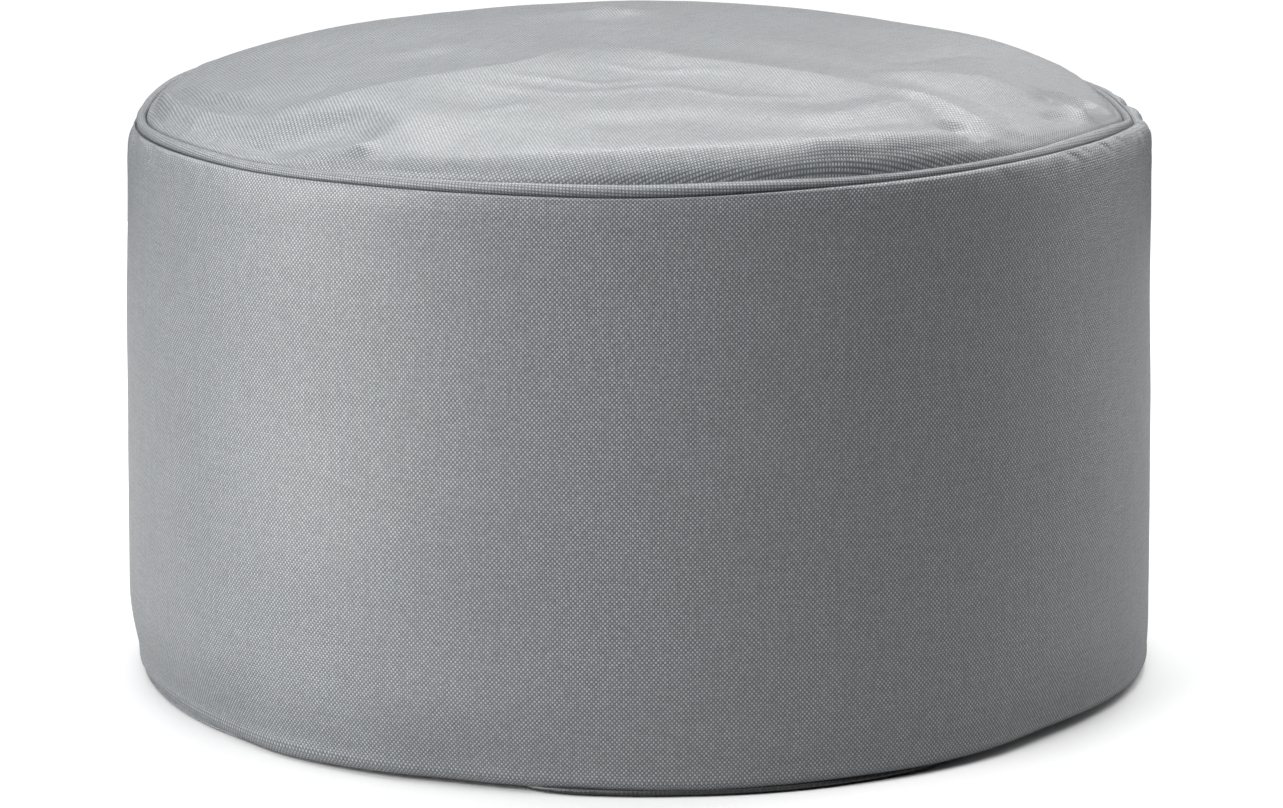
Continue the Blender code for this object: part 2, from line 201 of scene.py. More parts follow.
def closedMesh(name, rings, topPole, footPole, clothMap):
    # rings run from the top's middle out, down and under; faces point outwards
    rows, columns = rings.shape[:2]
    vertices = np.concatenate([rings.reshape(-1, 3), [topPole], [footPole]])
    place = np.arange(rows * columns).reshape(rows, columns)
    nextPlace = np.roll(place, -1, axis=1)
    quads = np.stack([place[:-1], place[1:], nextPlace[1:], nextPlace[:-1]], axis=-1).reshape(-1, 4)
    top = np.stack([np.full(columns, rows * columns), place[0], nextPlace[0]], axis=-1)
    foot = np.stack([place[-1], np.full(columns, rows * columns + 1), nextPlace[-1]], axis=-1)
    mesh = bpy.data.meshes.new(name)
    mesh.from_pydata(vertices.tolist(), [], quads.tolist() + top.tolist() + foot.tolist())
    a, b = clothMap[:, :-1], clothMap[:, 1:]
    quadMap = np.stack([a[:-1], a[1:], b[1:], b[:-1]], axis=2).reshape(-1, 2)
    poleMap = np.zeros(a[0].shape)   # both poles lie at the middle of the cloth's map
    topMap = np.stack([poleMap, a[0], b[0]], axis=1).reshape(-1, 2)
    footMap = np.stack([a[-1], poleMap, b[-1]], axis=1).reshape(-1, 2)
    layer = mesh.uv_layers.new(name="clothMap")
    layer.data.foreach_set("uv", np.concatenate([quadMap, topMap, footMap]).ravel())
    mesh.shade_smooth()
    piece = bpy.data.objects.new(name, mesh)
    bpy.context.scene.collection.objects.link(piece)
    return piece


# Top panel: crowned filling under the cloth, with its long creases
topPanel = {
    "around": 640,
    "rows": 118,
    "crownHeight": 34.0 * mm,
    "firstRow": 0.012,         # share of the radius
    "rimShare": 0.9,           # the rows stand closer beyond this share of the radius
    "rimRows": 34,
    "undersideRow": 0.4,       # share of the radius
    "undersideMap": 0.1,       # how far out that row lies on the cloth's map
    "heldRim": 0.035,          # share of the radius over which the seam holds the folds down
    "grain": -28.5,            # degrees that the cloth was turned when it was cut
    "section": (               # share of the radius, share of the crown's height, sink and fullness in mm
        (0.0, 1.000, 0.0, 0.0), (0.16, 0.979, 0.0, 0.0), (0.32, 0.930, 0.0, 0.0),
        (0.46, 0.862, 0.0, 0.0), (0.57, 0.797, 0.1, 0.0), (0.66, 0.738, 0.7, 0.0),
        (0.735, 0.681, 1.6, 0.0), (0.795, 0.631, 2.8, 0.0), (0.845, 0.587, 4.3, -0.4),
        (0.885, 0.548, 5.8, -0.3), (0.918, 0.509, 7.0, 0.2), (0.943, 0.462, 7.5, 1.1),
        (0.962, 0.400, 7.1, 2.1), (0.977, 0.313, 6.0, 3.0), (0.989, 0.201, 4.1, 3.4),
        (0.997, 0.088, 1.9, 2.3), (1.0, 0.0, 0.0, 0.0),
    ),
    "slack": (                 # azimuth, how far the shoulder has sunk there, how full its edge is
        (-150, 0.95, 0.3), (-135, 0.85, 0.4), (-120, 0.70, 0.5), (-107, 0.60, 0.6), (-95, 0.42, 0.8),
        (-84, 0.26, 0.9), (-75, 0.10, 1.0), (-67, 0.0, 1.0), (-58, 0.08, 1.0), (-50, 0.40, 0.8),
        (-43, 0.75, 0.5), (-33, 0.90, 0.3), (-20, 0.95, 0.2), (0, 1.0, 0.2), (90, 1.0, 0.2),
        (170, 0.95, 0.2),
    ),
    "swells": (                # x, y, lift, spread in mm
        (10, 118, 2.8, 66), (-152, -140, -2.4, 22), (-118, -128, -1.8, 24), (182, -46, -2.2, 15),
        (140, -146, -1.8, 14), (170, -96, -1.5, 13), (120, 78, 1.0, 34), (172, 62, 3.0, 26),
    ),
    "folds": (                 # crest on the plan, height, reach in front and behind in mm, sharpness there
        (((-164, -87), (-156, -95), (-146, -110), (-127, -116), (-115, -111), (-92, -104),
          (-72, -100), (-44, -86), (-30, -64), (-15, -37), (-7, -40)), 4, 44, 46, 0.6, 0.6),
        (((-17, -38), (-6, -44), (7, -75), (28, -87),
          (54, -97), (78, -108), (100, -112), (113, -119)), 3.4, 36, 40, 0.5, 0.4),
        (((95, -110), (113, -119), (127, -126),
          (142, -137), (153, -139), (160, -137)), 2.8, 14, 22, 0.5, 0.4),
        (((-212, -15), (-212, 0), (-200, -42), (-189, -75),
          (-178, -94), (-165, -105), (-153, -117)), 4.4, 13, 8, 0.3, 0.3),
        (((-207, -14), (-200, -2), (-186, -36), (-171, -68), (-157, -94)), 1.2, 8, 16, 0.3, 0.2),
        (((-193, -54), (-184, -59), (-171, -79), (-162, -98)), -1.2, 5, 9, 0.3, 0.2),
        (((-201, -59), (-194, -77), (-186, -95)), -1.6, 7, 7, 0.3, 0.3),
        (((-178, -112), (-167, -116), (-156, -119), (-142, -123), (-127, -127), (-114, -130),
          (-103, -138), (-97, -148), (-93, -161),
          (-87, -171), (-81, -179), (-74, -186)), 3.7, 20, 38, 0.15, 0.1),
        (((-80, -180), (-70, -188), (-55, -195), (-31, -200), (-10, -202),
          (8, -203), (32, -203), (56, -198), (68, -197)), 1.1, 9, 30, 0.35, 0),
        (((-139, -138), (-131, -137), (-121, -139), (-111, -144), (-102, -157)), -0.6, 12, 10, 0.1, 0.1),
        (((-178, -117), (-168, -128), (-158, -139), (-149, -152), (-142, -158)), -1.2, 22, 9, 0.1, 0.3),
        (((-153, -144), (-146, -153), (-140, -158)), -1.2, 14, 5, 0.1, 0.4),
        (((-144, -157), (-134, -165), (-125, -170),
          (-118, -173), (-110, -171), (-103, -161)), 3.4, 10, 14, 0.4, 0.3),
        (((-182, -111), (-178, -114), (-172, -116)), -2.2, 5, 5, 0.4, 0.4),
        (((-93, -112), (-77, -116), (-57, -122), (-40, -128), (-29, -132), (-14, -130), (-1, -126),
          (14, -125), (25, -131), (34, -137), (53, -138),
          (76, -134), (91, -126), (106, -117)), 0.45, 6, 7, 0.6, 0.6),
        (((-66, -103), (-51, -108), (-36, -112), (-24, -116),
          (-15, -118), (-3, -115), (8, -110), (15, -105)), 0.5, 5, 6, 0.6, 0.6),
        (((-22, -84), (-15, -89), (-8, -93), (0, -99),
          (9, -102), (21, -101), (34, -102), (47, -104)), 0.4, 5, 6, 0.6, 0.6),
        (((-70, -151), (-62, -150), (-56, -149), (-49, -146), (-42, -138)), 0.5, 6, 7, 0.4, 0.4),
        (((-31, -164), (-8, -169), (17, -167), (40, -163)), -0.9, 14, 14, 0, 0),
        (((52, -171), (61, -169), (76, -164), (89, -155),
          (102, -144), (112, -133), (120, -129), (127, -129)), 2.2, 16, 20, 0.2, 0.1),
        (((129, -143), (133, -146), (140, -155), (146, -154), (150, -151)), 2, 6, 8, 0.4, 0.3),
        (((120, -161), (129, -147), (135, -149), (142, -155), (146, -154)), -3.2, 22, 7, 0.1, 0.2),
        (((62, -196), (68, -197), (75, -197), (81, -196), (86, -195), (93, -192)), 1.3, 5, 10, 0.6, 0.2),
        (((78, -195), (84, -195), (90, -193), (95, -191)), -0.6, 9, 4, 0.2, 0.4),
        (((168, -71), (177, -59), (183, -75), (190, -84), (199, -75)), 2.2, 6, 12, 0.5, 0.2),
        (((168, -109), (178, -92), (186, -90), (192, -91)), -1.6, 14, 6, 0.1, 0.3),
        (((208, -9), (211, -8), (212, -13)), -1.2, 8, 5, 0.2, 0.3),
        (((150, -151), (155, -144), (162, -136)), -1.2, 10, 6, 0.2, 0.3),
        (((-51, 3), (-35, 34), (-17, 37), (0, 10)), -2, 20, 26, 0.1, 0.1),
        (((-103, -63), (-89, -46), (-74, -46)), -1.4, 18, 18, 0.1, 0.1),
        (((-25, 73), (-16, 69), (-8, 55), (0, 43)), 1.4, 20, 16, 0.3, 0.3),
        (((93, -90), (109, -86), (127, -78), (143, -73), (159, -55)), 2.2, 34, 12, 0.2, 0.4),
        (((167, -90), (175, -66), (186, -35), (194, -30), (198, -58)), -3.2, 22, 9, 0.1, 0.2),
        (((98, -72), (112, -56), (125, -33), (140, 2), (155, 23)), -1.8, 8, 16, 0.2, 0.2),
    ),
    "crestSteps": 26,
    "foldEnds": 3.4,           # how steeply a fold dies away towards its two ends
    "unevenness": (            # height and size of the cloth's lumps in mm, seed
        (0.35, 34, 4), (0.12, 13, 9),
    ),
    "gathers": {               # little rises along the seam
        "height": 0.45 * mm,
        "size": 11 * mm,
        "reach": 0.10,         # share of the radius
        "seed": 21,
    },
}


def foldLift(fold, plan):
    # a soft ridge or trough: steeper on one side than on the other, and low at its ends
    crestPoints, height, front, back, sharpFront, sharpBack = fold
    crest = curveThrough(crestPoints, topPanel["crestSteps"]) * mm
    lift = np.zeros(len(plan))
    reachOut = max(front, back) * mm
    near = np.all((plan > crest.min(0) - reachOut) & (plan < crest.max(0) + reachOut), axis=1)
    spot = plan[near]
    if not len(spot):
        return lift
    start, run = crest[:-1], np.diff(crest, axis=0)
    reach = spot[:, None, :] - start[None]
    t = np.clip((reach * run).sum(2) / (run * run).sum(1), 0, 1)
    reach = reach - t[..., None] * run
    away = np.linalg.norm(reach, axis=2)
    nearest = np.argmin(away, axis=1)
    rows = np.arange(len(spot))
    side = run[nearest, 0] * reach[rows, nearest, 1] - run[nearest, 1] * reach[rows, nearest, 0]
    along = (nearest + t[rows, nearest]) / len(run)
    share = np.clip(away[rows, nearest] / (np.where(side > 0, back, front) * mm), 0, 1)
    sharp = np.where(side > 0, sharpBack, sharpFront)
    shape = (1 - sharp) * fade(share) + sharp * (1 - share) ** 2
    ends = fade(np.clip(1 - topPanel["foldEnds"] * np.minimum(along, 1 - along), 0, 1))
    lift[near] = height * mm * shape * ends
    return lift


def makeTopPanel():
    part = topPanel
    share = np.r_[
        np.linspace(part["firstRow"], part["rimShare"], part["rows"] - part["rimRows"]),
        np.linspace(part["rimShare"], 1.0, part["rimRows"] + 1)[1:],
    ]
    around = np.radians(np.arange(part["around"]) * 360 / part["around"])
    section = np.array(part["section"])
    height = smoothBetween(section[:, 0], section[:, 1], share) * part["crownHeight"]
    rings = np.empty((len(share) + 2, part["around"], 3))
    radius = np.r_[share, 1.0, part["undersideRow"]] * crownEdge
    rings[..., 0] = radius[:, None] * np.cos(around)
    rings[..., 1] = radius[:, None] * np.sin(around)
    rings[: len(share), :, 2] = (seam["height"] + height)[:, None]
    rings[len(share):, :, 2] = crownUnderside
    skin = rings[: len(share)].reshape(-1, 3)
    reach, azimuth = polar(skin)
    reach = reach / crownEdge
    sunk, full = (smoothBetween(section[:, 0], section[:, column], reach) for column in (2, 3))
    lift = -sunk * aroundBag(part["slack"], 1, azimuth) * mm
    lift += full * aroundBag(part["slack"], 2, azimuth) * mm
    held = 1 - fade((1 - reach) / part["heldRim"])
    for x, y, rise, spread in part["swells"]:
        away = np.hypot(skin[:, 0] - x * mm, skin[:, 1] - y * mm)
        lift += held * rise * mm * np.exp(-0.5 * (away / (spread * mm)) ** 2)
    for fold in part["folds"]:
        lift += held * foldLift(fold, skin[:, :2])
    for rise, size, seed in part["unevenness"]:
        lift += held * rise * mm * softNoise(skin[:, 0], skin[:, 1], size * mm, seed)
    gathers = part["gathers"]
    alongSeam = np.radians(azimuth % 360) * seam["radius"]
    seamLength = 2 * math.pi * seam["radius"]
    rises = softNoise(alongSeam, reach * 0, gathers["size"], gathers["seed"], seamLength)
    lift += gathers["height"] * rises * fade((1 - reach) / gathers["reach"]) * held
    skin[:, 2] += lift
    rings[: len(share)] = skin.reshape(len(share), part["around"], 3)
    middle = (0.0, 0.0, float(rings[0, :, 2].mean()))
    closeUpToWelt(rings)
    followSeam(rings)
    steps = np.hypot(np.diff(np.r_[share, 1.0]) * crownEdge, np.diff(np.r_[height, 0]))
    arc = share[0] * crownEdge + np.r_[0, np.cumsum(steps)][: len(share)]
    arc = np.r_[arc, arc[-1] + seam["weltRadius"], part["undersideMap"]]
    turn = np.r_[around, 2 * math.pi] + math.radians(-part["grain"])
    clothMap = np.stack([arc[:, None] * np.cos(turn), arc[:, None] * np.sin(turn)], axis=-1)
    underside = (0.0, 0.0, crownUnderside)
    return closedMesh("topPanel", rings, middle, underside, clothMap)


# Side panel: the drum-shaped wall
sidePanel = {
    "around": 700,
    "wallRadius": 224.4 * mm,
    "flare": 3.0 * mm,
    "baseThickness": 3.2 * mm,
    "turnHeight": 34.0 * mm,
    "shoulderDepth": 9.0 * mm,
    "yarns": 1552,             # yarns around the bag, an even number so that the weave closes
    "shoulder": (              # out and up from the welt's middle, in mm
        (-0.5, -3.6), (1.2, -4.3), (2.6, -4.3), (3.3, -2.9),
        (3.9, -1.3), (5.0, -1.5), (6.3, -3.5), (7.0, -7.0),
    ),
    "wall": (                  # share of the flare, height in mm
        (0.0, 232.0), (0.02, 222.0), (0.10, 206.0), (0.34, 166.0), (0.64, 118.0),
        (0.88, 72.0), (1.0, 34.0), (1.0, 18.0), (0.86, 10.0),
    ),
    "rowSpacing": (            # spacing of the rows above the first and below the second height, mm
        (0.8, 228, 6), (1.7, 200, 30), (3.4, 0, 0),
    ),
    "turn": (                  # inside the widest and above the foot in mm, share of tuck and hang
        (0.6, 1.6, 1.0, 0.55), (2.2, 0.0, 1.0, 1.0), (6.0, 0.0, 0.9, 1.0), (14.0, 0.0, 0.0, 0.0),
    ),
    "puff": (                  # azimuth, swelling of the shoulder in mm
        (-180, -2.2), (-150, -0.6), (-110, -0.6), (-85, -0.7), (-65, 0.4), (-45, 1.1),
        (-28, 0.9), (-8, 2.0), (12, 3.4), (40, 1.8), (90, -0.8), (140, -2.0),
    ),
    "puckers": (               # azimuth, lean in degrees, half width in degrees, depth and length in mm
        (-166, 0, 3.0, 1.3, 18), (-157, 1, 1.8, 0.8, 14),
        (-150.5, 6, 1.2, 0.6, 13), (-142.5, 0, 1.1, 0.6, 15),
        (-127, 0, 1.6, 0.9, 10), (-114.5, 7, 1.1, 1.5, 7), (-98, -3, 1.4, 0.6, 8), (-62, -5, 1.0, 1.1, 6),
        (-50, 4, 1.2, 0.7, 7), (-38.6, 9, 0.9, 1.3, 6), (-35.4, 9, 0.8, 1.3, 6), (-31, 9, 1.0, 1.7, 7),
        (-26.3, 9, 1.0, 1.5, 7), (-17, 2, 1.4, 0.8, 9), (-6, 0, 1.8, 1.2, 14), (8, 0, 2.4, 1.4, 18),
        (34, 1, 2.2, 1.3, 16), (51, 0, 1.8, 0.9, 12), (68, -1, 2.2, 1.1, 16), (88, 0, 1.6, 0.8, 12),
        (104, 1, 2.2, 1.2, 18), (121, 0, 1.6, 0.8, 12), (139, -1, 2.2, 1.2, 18), (156, 0, 1.8, 1.0, 14),
    ),
    "leanOver": 20 * mm,       # depth over which a pucker leans by its degrees
    "puckerRidge": 0.35,       # share of its depth that the cloth rises by on both sides of it
    "ridgeAt": 1.5,            # and where, in half widths
    "dents": (                 # azimuth, height, fade around in degrees, fade up, depth in mm
        (-128, 150, 14, 70, 1.2), (-62, 90, 16, 60, 1.0), (-20, 165, 12, 45, 1.2), (-95, 40, 13, 26, -0.8),
        (30, 120, 18, 60, 1.1), (85, 150, 18, 60, 1.2), (140, 90, 18, 60, 1.1), (175, 160, 14, 50, -0.8),
    ),
    "girth": (                 # azimuth, how far the wall stands in at its shoulder, middle and foot in mm
        (-180, 1.5, 1.2, 0.9), (-160, 1.2, 0.9, 0.6), (-135, 0.4, 0.3, 0.2), (-110, 0.0, 0.0, 0.0),
        (-60, 0.0, 0.0, 0.0), (-30, 0.2, 0.3, 0.4), (-10, 0.5, 0.4, 0.8), (20, 0.5, 0.4, 0.8),
        (60, 0.2, 0.2, 0.6), (120, 0.2, 0.2, 0.3), (160, 1.2, 0.9, 0.6),
    ),
    "girthHeight": 240 * mm,   # height of the shoulder in the table above
    "rounding": (              # azimuth, how much further the top of the wall is drawn in, mm
        (-180, 0.9), (-165, 0.5), (-150, 0.0), (-130, -0.2), (-105, -0.1), (-60, 0.0),
        (-20, 0.0), (10, 0.2), (60, 0.2), (120, 0.4), (160, 0.7),
    ),
    "roundingStart": 222 * mm,
    "roundingRise": 22 * mm,
    "unevenness": (            # height and size of the wall's lumps in mm, share of height, seed
        (0.30, 60, 0.6, 31), (0.07, 17, 0.7, 33),
    ),
    "gathers": {               # little folds at the seam, straight down the wall
        "depth": 0.35 * mm,
        "size": 9 * mm,
        "reach": 15 * mm,
        "seed": 35,
    },
    "lowerEdge": (             # azimuth, base edge out, tuck, hang in mm
        (-170, -13.5, 4.0, 2.0), (-160, -13.5, 5.4, 2.2), (-150, -13.5, 5.4, 2.4), (-143, -13.5, 4.6, 2.3),
        (-138, -13.5, 3.4, 2.2), (-132, -14.0, 1.4, 2.2), (-126, -15.0, 1.2, 1.8), (-118, -15.0, 1.8, 1.2),
        (-110, -15.0, 4.0, 1.0), (-105, -14.0, 3.4, 1.0), (-101.5, -4.0, 2.6, 0.9), (-98, -0.5, 2.0, 0.7),
        (-93, 0.6, 0.7, 0.7), (-86, 1.0, -0.2, 1.1), (-76, 1.4, -0.5, 0.5), (-67, 0.0, 0.0, 0.0),
        (-57, -4.0, 0.4, 0.0), (-49, -13.0, 1.2, -0.6), (-40, -17.0, 3.6, -1.2),
        (-31, -16.0, 2.8, -0.8), (-20, -13.0, 0.6, 0.0), (20, -7.0, 1.0, 0.0),
        (90, -6.0, 2.0, 0.0), (140, -8.0, 2.0, 0.0), (152, -12.0, 2.8, 0.0),
    ),
    "turnedDepth": 3 * mm,     # the turned edge hangs down from this far above the foot
}


def rowSpacing(height):
    for spacing, above, below in sidePanel["rowSpacing"]:
        if height > above * mm or height < below * mm:
            return spacing * mm


def wallSection():
    # places down the wall from its shoulder, and how far along the cloth each one lies
    part = sidePanel
    foot = part["baseThickness"] + seam["gap"]
    widest = part["wallRadius"] + part["flare"]
    rows = [(seam["radius"] + out * mm, seam["height"] + up * mm) for out, up in part["shoulder"]]
    rows += [(part["wallRadius"] + share * part["flare"], up * mm) for share, up in part["wall"]]
    rows += [(widest - inside * mm, foot + above * mm) for inside, above, _, _ in part["turn"]]
    rows = np.array(rows)
    reach = np.r_[0, np.cumsum(np.linalg.norm(np.diff(rows, axis=0), axis=1))]
    steps = [0.0]
    while steps[-1] < reach[-1]:
        passed = np.searchsorted(reach, steps[-1], side="right") - 1
        height = rows[np.clip(passed, 0, len(rows) - 1)][1]
        steps.append(steps[-1] + rowSpacing(height))
    steps[-1] = reach[-1]
    steps = np.array(steps)
    return smoothBetween(reach, rows[:, 0], steps), smoothBetween(reach, rows[:, 1], steps), steps


def makeSidePanel():
    part = sidePanel
    out, up, arc = wallSection()
    around = np.radians(np.arange(part["around"]) * 360 / part["around"])
    rings = np.empty((len(out), part["around"], 3))
    rings[..., 0] = out[:, None] * np.cos(around)
    rings[..., 1] = out[:, None] * np.sin(around)
    rings[..., 2] = up[:, None]
    radius, azimuth = polar(rings)
    height = rings[..., 2].copy()
    loop = 2 * math.pi * part["wallRadius"]
    alongWall = np.radians(azimuth % 360) * part["wallRadius"]
    outsideWelt = radius > seam["radius"] + seam["weltRadius"]
    shoulder = outsideWelt * fade((height - seam["height"]) / part["shoulderDepth"])
    outer = 1 - fade(np.clip(radius - seam["radius"] - seam["lip"], 0, None) / seam["lipWidth"])
    inwards = np.zeros(radius.shape)
    below = seam["height"] - height
    for middle, lean, half, depth, length in part["puckers"]:
        off = (azimuth - middle - lean * below / part["leanOver"] + 180) % 360 - 180
        beside = fade((np.abs(off) - part["ridgeAt"] * half) / half)
        inwards += depth * mm * fade(off / half) * fade(below / (length * mm))
        inwards -= part["puckerRidge"] * depth * mm * beside * fade(below / (length * mm))
    for middle, level, wide, tall, depth in part["dents"]:
        off = (azimuth - middle + 180) % 360 - 180
        inwards += depth * mm * fade(off / (2 * wide)) * fade((height / mm - level) / tall)
    highShare = np.clip(height / part["girthHeight"], 0, 1)
    atShoulder, atMiddle, atFoot = (aroundBag(part["girth"], column, azimuth) for column in (1, 2, 3))
    inwards += mm * np.where(
        highShare > 0.5,
        atMiddle + (atShoulder - atMiddle) * (2 * highShare - 1),
        atFoot + (atMiddle - atFoot) * 2 * highShare,
    )
    rounded = np.clip((height - part["roundingStart"]) / part["roundingRise"], 0, 1) ** 2
    inwards += aroundBag(part["rounding"], 1, azimuth) * mm * rounded
    for rise, size, stretch, seed in part["unevenness"]:
        inwards += rise * mm * softNoise(alongWall, height * stretch, size * mm, seed, loop)
    gathers = part["gathers"]
    folds = softNoise(alongWall, height * 0, gathers["size"], gathers["seed"], loop)
    inwards += gathers["depth"] * folds * fade(below / gathers["reach"])
    inside = part["wallRadius"] + part["flare"] - radius
    turnAt = [row[0] * mm for row in part["turn"]]
    tuckShare = np.interp(inside, turnAt, [row[2] for row in part["turn"]])
    hangShare = np.interp(inside, turnAt, [row[3] for row in part["turn"]])
    tuckShare = tuckShare * fade((height - part["baseThickness"]) / part["turnHeight"])
    inwards += tuckShare * aroundBag(part["lowerEdge"], 2, azimuth) * mm
    turnedUnder = height < part["baseThickness"] + seam["gap"] + part["turnedDepth"]
    moveOut(rings, -inwards * outer)
    rings[..., 2] += shoulder * aroundBag(part["puff"], 1, azimuth) * mm
    rings[..., 2] -= turnedUnder * hangShare * aroundBag(part["lowerEdge"], 3, azimuth) * mm
    closeUpToWelt(rings)
    followSeam(rings)
    pitch = loop / part["yarns"]
    across = np.arange(part["around"] + 1) / part["around"] * part["yarns"] * pitch
    clothMap = np.stack(np.broadcast_arrays(across[None, :], -arc[:, None]), axis=-1)
    foot = part["baseThickness"] + seam["gap"]
    return closedMesh("sidePanel", rings, (0, 0, seamFloor), (0, 0, foot), clothMap)


# Base panel
basePanel = {
    "around": 360,
    "flat": 202.0 * mm,        # from this radius on its edge is moved in or out
    "rim": 18.0 * mm,          # and fully after this width
    "rise": 6.0 * mm,          # width over which the lower edge lifts off the floor
    "rings": (0.3, 0.7, 0.88),  # shares of the radius inside the rim
    "rimSteps": 9,
}


def makeBasePanel():
    part = basePanel
    thick = sidePanel["baseThickness"]
    widest = sidePanel["wallRadius"] + sidePanel["flare"]
    middle = widest - thick
    angles = np.radians(np.linspace(90, -90, part["rimSteps"]))
    lifted = np.where(angles < 0, part["rise"] * (1 - np.cos(angles)), 0)
    rim = middle + thick / 2 * np.cos(angles) - lifted
    inner = np.array(part["rings"]) * middle
    out = np.r_[inner, rim, inner[::-1]]
    up = np.r_[inner * 0 + thick, thick / 2 * (1 + np.sin(angles)), inner * 0]
    around = np.radians(np.arange(part["around"]) * 360 / part["around"])
    rings = np.empty((len(out), part["around"], 3))
    rings[..., 0] = out[:, None] * np.cos(around)
    rings[..., 1] = out[:, None] * np.sin(around)
    rings[..., 2] = up[:, None]
    radius, azimuth = polar(rings)
    nearRim = np.clip((radius - part["flat"]) / part["rim"], 0, 1)
    moveOut(rings, nearRim * aroundBag(sidePanel["lowerEdge"], 1, azimuth) * mm)
    turn = np.r_[around, 2 * math.pi]
    clothMap = np.stack([out[:, None] * np.cos(turn), out[:, None] * np.sin(turn)], axis=-1)
    return closedMesh("basePanel", rings, (0, 0, thick), (0, 0, 0), clothMap)


# Welt: a covered cord that Geometry Nodes run along the seam
welt = {
    "steps": 720,
    "sides": 18,
    "unevenness": 0.10 * mm,
    "lumps": 90,               # how many of its lumps go into a metre, about
    "sideways": (0.12, 13, 51),  # height and length of the seam's waves in mm, seed
    "upwards": (0.15, 16, 53),
}


def seamLine(steps):
    azimuth = np.arange(steps) * 360 / steps
    loop = 2 * math.pi * seam["radius"]
    along = azimuth / 360 * loop
    out = seam["radius"] + aroundBag(seam["path"], 1, azimuth) * mm
    rise, size, seed = welt["sideways"]
    out += rise * mm * softNoise(along, along * 0, size * mm, seed, loop)
    up = seam["height"] + aroundBag(seam["path"], 2, azimuth) * mm
    rise, size, seed = welt["upwards"]
    up += rise * mm * softNoise(along, along * 0, size * mm, seed, loop)
    turn = np.radians(azimuth)
    return np.stack([out * np.cos(turn), out * np.sin(turn), up], axis=1)


def cordTree(material):
    tree = bpy.data.node_groups.new("coveredCord", "GeometryNodeTree")
    tree.interface.new_socket("Geometry", in_out="INPUT", socket_type="NodeSocketGeometry")
    tree.interface.new_socket("Cord radius", in_out="INPUT", socket_type="NodeSocketFloat")
    tree.interface.new_socket("Sides", in_out="INPUT", socket_type="NodeSocketInt")
    tree.interface.new_socket("Unevenness", in_out="INPUT", socket_type="NodeSocketFloat")
    tree.interface.new_socket("Geometry", in_out="OUTPUT", socket_type="NodeSocketGeometry")
    nodes, link = tree.nodes, tree.links.new
    start = nodes.new("NodeGroupInput")
    toCurve = nodes.new("GeometryNodeMeshToCurve")
    ring = nodes.new("GeometryNodeCurvePrimitiveCircle")
    sweep = nodes.new("GeometryNodeCurveToMesh")
    lumps = nodes.new("ShaderNodeTexNoise")
    lumps.inputs["Scale"].default_value = welt["lumps"]
    lumps.inputs["Detail"].default_value = 1
    centred = nodes.new("ShaderNodeMath")
    centred.operation = "SUBTRACT"
    centred.inputs[1].default_value = 0.5
    amount = nodes.new("ShaderNodeMath")
    amount.operation = "MULTIPLY"
    outward = nodes.new("GeometryNodeInputNormal")
    push = nodes.new("ShaderNodeVectorMath")
    push.operation = "SCALE"
    move = nodes.new("GeometryNodeSetPosition")
    smooth = nodes.new("GeometryNodeSetShadeSmooth")
    real = nodes.new("GeometryNodeRealizeInstances")
    cloth = nodes.new("GeometryNodeSetMaterial")
    cloth.inputs["Material"].default_value = material
    end = nodes.new("NodeGroupOutput")
    link(start.outputs["Geometry"], toCurve.inputs["Mesh"])
    link(start.outputs["Cord radius"], ring.inputs["Radius"])
    link(start.outputs["Sides"], ring.inputs["Resolution"])
    link(toCurve.outputs["Curve"], sweep.inputs["Curve"])
    link(ring.outputs["Curve"], sweep.inputs["Profile Curve"])
    link(lumps.outputs[0], centred.inputs[0])
    link(centred.outputs[0], amount.inputs[0])
    link(start.outputs["Unevenness"], amount.inputs[1])
    link(outward.outputs["Normal"], push.inputs[0])
    link(amount.outputs[0], push.inputs["Scale"])
    link(sweep.outputs["Mesh"], move.inputs["Geometry"])
    link(push.outputs["Vector"], move.inputs["Offset"])
    link(move.outputs["Geometry"], smooth.inputs["Geometry"])
    link(smooth.outputs["Geometry"], real.inputs["Geometry"])
    link(real.outputs["Geometry"], cloth.inputs["Geometry"])
    link(cloth.outputs["Geometry"], end.inputs["Geometry"])
    return tree


def makeWelt(material):
    line = seamLine(welt["steps"])
    path = bpy.data.meshes.new("weltPath")
    path.from_pydata(line.tolist(), [(i, (i + 1) % len(line)) for i in range(len(line))], [])
    piece = bpy.data.objects.new("topWelt", path)
    bpy.context.scene.collection.objects.link(piece)
    tree = cordTree(material)
    sweep = piece.modifiers.new("coveredCord", "NODES")
    sweep.node_group = tree
    values = {"Cord radius": seam["weltRadius"], "Sides": welt["sides"], "Unevenness": welt["unevenness"]}
    for item in tree.interface.items_tree:
        if item.in_out == "INPUT" and item.name in values:
            sweep[item.identifier] = values[item.name]
    bpy.context.view_layer.update()
    evaluated = piece.evaluated_get(bpy.context.evaluated_depsgraph_get())
    mesh = bpy.data.meshes.new_from_object(evaluated)
    mesh.name = "topWelt"
    piece.modifiers.clear()
    piece.data = mesh
    mapWelt(mesh)
    drawInWelt(mesh)
    return piece


def drawInWelt(mesh):
    # the cord is thinner where the seam is drawn in
    points = np.empty(len(mesh.vertices) * 3)
    mesh.vertices.foreach_get("co", points)
    points = points.reshape(-1, 3)
    radius, azimuth = polar(points)
    slim = 1 - aroundBag(seam["thickness"], 1, azimuth)
    moveOut(points, -slim * (radius - seam["radius"] - aroundBag(seam["path"], 1, azimuth) * mm))
    points[:, 2] -= slim * (points[:, 2] - seam["height"] - aroundBag(seam["path"], 2, azimuth) * mm)
    mesh.vertices.foreach_set("co", points.ravel())
    mesh.update()


